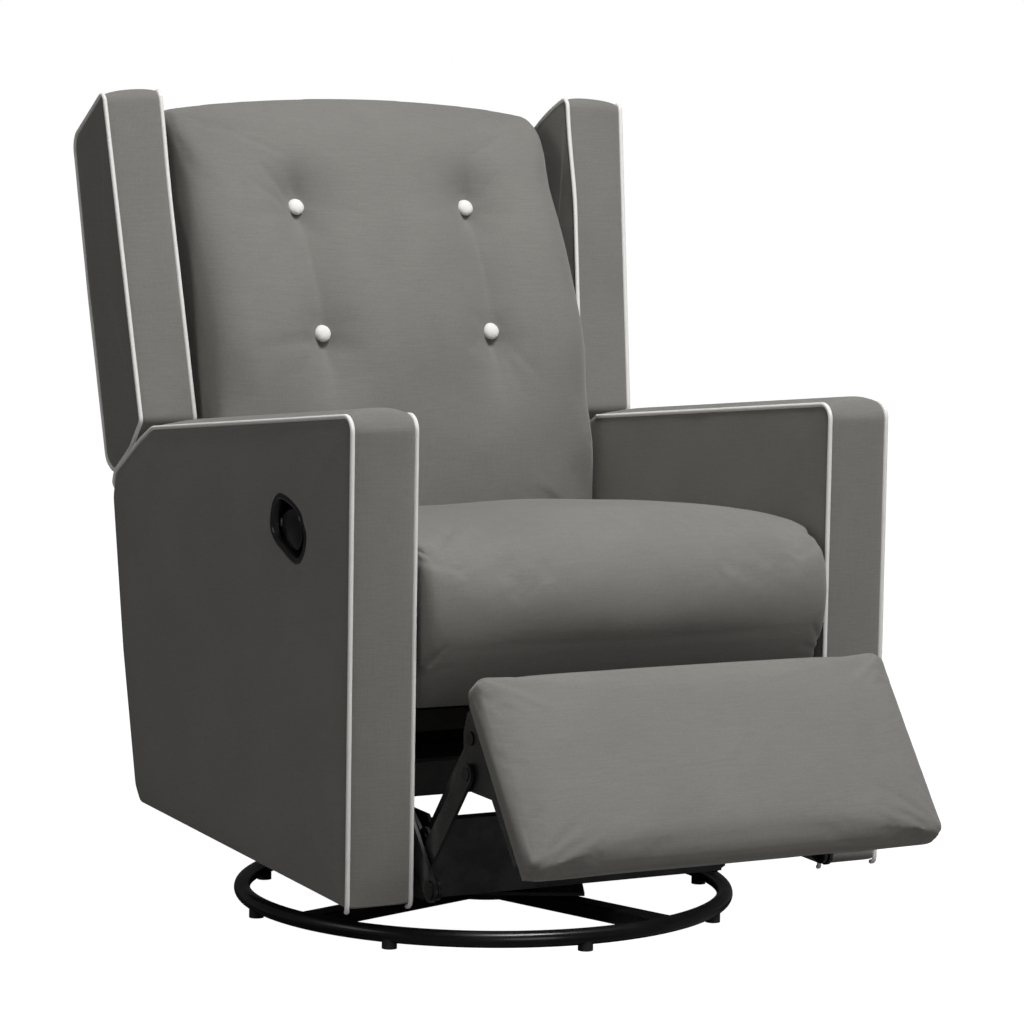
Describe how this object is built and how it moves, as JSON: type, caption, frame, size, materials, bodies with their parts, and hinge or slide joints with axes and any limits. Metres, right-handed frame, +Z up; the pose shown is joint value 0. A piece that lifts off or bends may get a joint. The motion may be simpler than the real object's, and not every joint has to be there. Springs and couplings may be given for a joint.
{
  "type": "swivel glider recliner",
  "caption": "Upholstered armchair with wings and a tufted back that swivels, glides, reclines and folds out a footrest from a round ring base.",
  "frame": {"origin": "on the floor, under the middle of the bounding box", "axes": "+Z up, the sitter faces -Y, +X is the sitter's left"},
  "size_m": [0.7468, 1.0545, 0.992],
  "materials": {
    "grey_fabric": "matt woven upholstery cloth",
    "white_piping": "matt piping",
    "button_fabric": "matt covered button",
    "black_paint": "gloss black paint",
    "zinc_steel": "zinc plated",
    "frame_wood": "bare timber",
    "black_plastic": "gloss moulded",
    "pad_rubber": "matt moulded",
    "cable_sheath": "matt sheath"
  },
  "bodies": {
    "base": {"base_ring": "black_paint", "floor_pads": "pad_rubber", "base_spokes": "black_paint", "swivel_lower_plate": "black_paint", "swivel_spindle": "zinc_steel"},
    "turntable": {"swivel_upper_plate": "black_paint", "swivel_balls": "zinc_steel", "swivel_ball_cage": "zinc_steel", "glider_cross_bars": "black_paint", "glider_side_plates": "black_paint", "glider_front_channel": "black_paint", "glide_upper_pins": "zinc_steel"},
    "front_glide_links": {"glide_links_front": "black_paint"},
    "rear_glide_links": {"glide_links_rear": "black_paint"},
    "chair": {"glide_rails": "black_paint", "glide_lower_pins": "zinc_steel", "cross_members": "black_paint", "mechanism_plate_left": "black_paint", "mechanism_plate_right": "black_paint", "mechanism_pins": "zinc_steel", "arm_cover_left": "grey_fabric", "arm_cover_right": "grey_fabric", "arm_frame_left": "frame_wood", "arm_frame_right": "frame_wood", "arm_piping": "white_piping", "release_cable": "cable_sheath", "frame_bolts": "zinc_steel", "handle_cup": "black_plastic", "seat_frame": "frame_wood", "seat_springs": "zinc_steel", "seat_cushion": "grey_fabric", "rear_frame_rail": "frame_wood", "lower_back_panel": "grey_fabric", "latch_bracket": "black_paint"},
    "lever": {"handle_lever": "black_plastic", "lever_spring": "zinc_steel"},
    "pawl": {"latch_pawl": "black_paint"},
    "back": {"back_cushion": "grey_fabric", "tuft_buttons": "button_fabric", "back_frame": "frame_wood", "back_springs": "zinc_steel", "outer_back_panel": "grey_fabric", "wing_left": "grey_fabric", "wing_right": "grey_fabric", "wing_boards": "frame_wood", "wing_piping": "white_piping", "back_brackets": "black_paint", "bracket_screws": "zinc_steel"},
    "main_links": {"footrest_main_links": "black_paint", "footrest_drive_tube": "black_paint", "main_link_pins": "zinc_steel"},
    "lift_links": {"footrest_lift_links": "black_paint", "lift_link_pins": "zinc_steel"},
    "guide_links": {"footrest_guide_links": "black_paint"},
    "control_links": {"footrest_control_links": "black_paint"},
    "footrest": {"footrest_brackets": "black_paint", "footrest_board": "frame_wood", "footrest_screws": "zinc_steel", "bracket_pins": "zinc_steel", "footrest_pad": "grey_fabric"}
  },
  "joints": [
    {"name": "swivel", "type": "hinge", "parent": "base", "child": "turntable", "pos_m": [0, 0.0801, 0.04], "axis": [0, 0, 1], "continuous": true},
    {"name": "glide", "type": "hinge", "parent": "turntable", "child": "front_glide_links", "pos_m": [0, -0.0579, 0.156], "axis": [1, 0, 0], "range_deg": [-22, 22]},
    {"name": "glide_level", "type": "hinge", "parent": "front_glide_links", "child": "chair", "pos_m": [0, -0.0579, 0.07], "axis": [1, 0, 0], "range_deg": [-22.05, 22.05]},
    {"name": "glide_rear", "type": "hinge", "parent": "turntable", "child": "rear_glide_links", "pos_m": [0, 0.2221, 0.156], "axis": [1, 0, 0], "range_deg": [-22.05, 22.05]},
    {"name": "handle_pull", "type": "hinge", "parent": "chair", "child": "lever", "pos_m": [-0.3475, -0.0689, 0.4995], "axis": [0, 0, -1], "range_deg": [0, 22], "stiffness_Nm_per_rad": 0.5, "springref_deg": -11.46, "deforming": ["lever_spring"]},
    {"name": "latch_release", "type": "hinge", "parent": "chair", "child": "pawl", "pos_m": [-0.23, -0.0854, 0.3042], "axis": [1, 0, 0], "range_deg": [-0.02, 8.9]},
    {"name": "back_recline", "type": "hinge", "parent": "chair", "child": "back", "pos_m": [0, 0.3321, 0.33], "axis": [-1, 0, 0], "range_deg": [0, 30]},
    {"name": "footrest_extend", "type": "hinge", "parent": "chair", "child": "main_links", "pos_m": [0, -0.1119, 0.2675], "axis": [-1, 0, 0], "range_deg": [-40.04, 44]},
    {"name": "lift_knee", "type": "hinge", "parent": "main_links", "child": "lift_links", "pos_m": [0, -0.2499, 0.1175], "axis": [-1, 0, 0], "range_deg": [-66.82, 60.81]},
    {"name": "footrest_tilt", "type": "hinge", "parent": "lift_links", "child": "footrest", "pos_m": [0, -0.3579, 0.247], "axis": [-1, 0, 0], "range_deg": [-57.37, 63.04]},
    {"name": "guide_swing", "type": "hinge", "parent": "main_links", "child": "guide_links", "pos_m": [0, -0.2496, 0.1549], "axis": [-1, 0, 0], "range_deg": [-66.7, 60.7]},
    {"name": "control_swing", "type": "hinge", "parent": "chair", "child": "control_links", "pos_m": [0, -0.1775, 0.2317], "axis": [-1, 0, 0], "range_deg": [-45.55, 50.06]}
  ],
  "couplings": [
    {"joint": "glide_level", "follows": "glide", "ratio": -1},
    {"joint": "glide_rear", "follows": "glide", "ratio": 1},
    {"joint": "latch_release", "follows": "handle_pull", "ratio": 0.4},
    {"joint": "lift_knee", "follows": "footrest_extend", "ratio": -1.5183},
    {"joint": "footrest_tilt", "follows": "footrest_extend", "ratio": 1.4324},
    {"joint": "guide_swing", "follows": "footrest_extend", "ratio": -1.5155},
    {"joint": "control_swing", "follows": "footrest_extend", "ratio": 1.1372}
  ]
}
